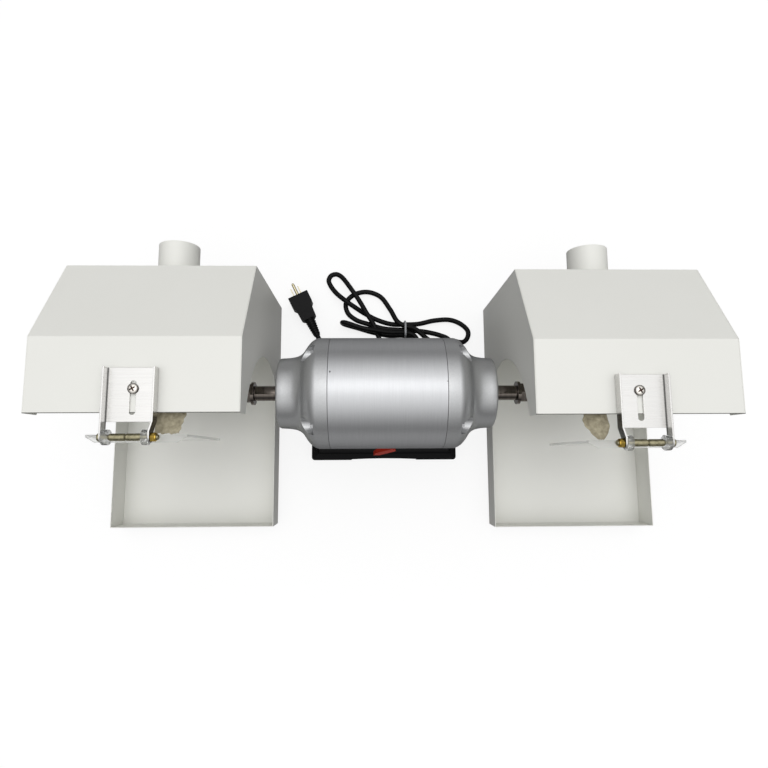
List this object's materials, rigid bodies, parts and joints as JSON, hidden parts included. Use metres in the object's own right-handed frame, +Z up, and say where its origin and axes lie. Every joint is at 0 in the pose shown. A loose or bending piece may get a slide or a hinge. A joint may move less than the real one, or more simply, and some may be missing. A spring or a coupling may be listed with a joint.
{
  "type": "dental polishing lathe",
  "caption": "Twin-spindle bench polishing lathe: silver motor on a black base between two white dust hoods with clear hinged visors on sliding brackets",
  "frame": {"origin": "middle of the footprint on the bench, without the mains cord", "axes": "+X along the spindle to the operator's right, +Y away from the operator towards the ducts, +Z up"},
  "size_m": [0.827, 0.4146, 0.2956],
  "materials": {
    "barrel_silver": "silver lacquer on rolled steel",
    "bell_silver": "silver lacquer on cast aluminium",
    "base_black": "black stove enamel on cast iron",
    "spindle_steel": "ground steel, slightly darkened",
    "zinc_steel": "bright zinc plate",
    "lamination_steel": "stacked electrical steel",
    "copper_winding": "enamelled copper wire",
    "hood_white": "off-white powder coat on folded steel sheet",
    "bracket_aluminium": "mill-finish channel",
    "yellow_zinc": "yellow zinc passivated steel",
    "clear_acrylic": "clear acrylic sheet, lightly scratched",
    "black_rubber": "moulded black rubber",
    "knob_red": "moulded red plastic",
    "cream_plastic": "moulded switch housing",
    "cord_black": "black vinyl jacket",
    "tie_grey": "grey vinyl over wire",
    "blade_brass": "nickel-brass blades"
  },
  "bodies": {
    "base": {"base_casting": "base_black", "base_bottom_plate": "zinc_steel", "foot_front_left": "black_rubber", "foot_front_right": "black_rubber", "foot_rear_left": "black_rubber", "foot_rear_right": "black_rubber", "motor_barrel": "barrel_silver", "left_end_bell": "bell_silver", "right_end_bell": "bell_silver", "tie_bolt_1": "zinc_steel", "tie_bolt_2": "zinc_steel", "tie_bolt_3": "zinc_steel", "tie_bolt_4": "zinc_steel", "stator_core": "lamination_steel", "left_winding_head": "copper_winding", "right_winding_head": "copper_winding", "left_bearing": "zinc_steel", "right_bearing": "zinc_steel", "run_capacitor": "lamination_steel", "switch_body": "cream_plastic", "cord_gland": "black_rubber", "mains_cord": "cord_black", "cord_twist_tie": "tie_grey", "plug_body": "cord_black", "plug_left_blade": "blade_brass", "plug_right_blade": "blade_brass", "plug_ground_pin": "blade_brass"},
    "rotor": {"motor_shaft": "spindle_steel", "rotor_core": "lamination_steel", "left_arbor": "spindle_steel", "right_arbor": "spindle_steel"},
    "switch": {"switch_knob": "knob_red"},
    "left_hood": {"left_hood_tray": "hood_white", "left_hood_cowl": "hood_white", "left_hood_inner_side": "hood_white", "left_hood_outer_side": "hood_white", "left_hood_duct": "hood_white", "left_clamp_screw": "zinc_steel", "left_clamp_nut": "zinc_steel"},
    "left_bracket": {"left_visor_bracket": "bracket_aluminium", "left_hinge_pin": "yellow_zinc", "left_pin_nut": "yellow_zinc", "left_inner_spacer": "yellow_zinc", "left_outer_spacer": "yellow_zinc"},
    "left_visor_body": {"left_visor": "clear_acrylic"},
    "right_hood": {"right_hood_tray": "hood_white", "right_hood_cowl": "hood_white", "right_hood_inner_side": "hood_white", "right_hood_outer_side": "hood_white", "right_hood_duct": "hood_white", "right_clamp_screw": "zinc_steel", "right_clamp_nut": "zinc_steel"},
    "right_bracket": {"right_visor_bracket": "bracket_aluminium", "right_hinge_pin": "yellow_zinc", "right_pin_nut": "yellow_zinc", "right_inner_spacer": "yellow_zinc", "right_outer_spacer": "yellow_zinc"},
    "right_visor_body": {"right_visor": "clear_acrylic"}
  },
  "joints": [
    {"name": "spindle_turn", "type": "hinge", "parent": "base", "child": "rotor", "pos_m": [0, -0.00865, 0.168], "axis": [1, 0, 0], "continuous": true},
    {"name": "switch_turn", "type": "hinge", "parent": "base", "child": "switch", "pos_m": [0, -0.07765, 0.053], "axis": [0, -0.9261, 0.3773], "range_deg": [-45, 45]},
    {"name": "left_hood_slide", "type": "slide", "parent": "base", "child": "left_hood", "axis": [-1, 0, 0], "range_m": [0, 0.15]},
    {"name": "left_bracket_slide", "type": "slide", "parent": "left_hood", "child": "left_bracket", "axis": [0, 1, 0], "range_m": [-0.0055, 0.021]},
    {"name": "left_visor_swing", "type": "hinge", "parent": "left_bracket", "child": "left_visor_body", "pos_m": [-0.29, -0.07025, 0.2868], "axis": [-1, 0, 0], "range_deg": [0, 85]},
    {"name": "right_hood_slide", "type": "slide", "parent": "base", "child": "right_hood", "axis": [1, 0, 0], "range_m": [0, 0.15]},
    {"name": "right_bracket_slide", "type": "slide", "parent": "right_hood", "child": "right_bracket", "axis": [0, 1, 0], "range_m": [-0.001, 0.0265]},
    {"name": "right_visor_swing", "type": "hinge", "parent": "right_bracket", "child": "right_visor_body", "pos_m": [0.29, -0.07955, 0.2868], "axis": [-1, 0, 0], "range_deg": [0, 85]}
  ]
}
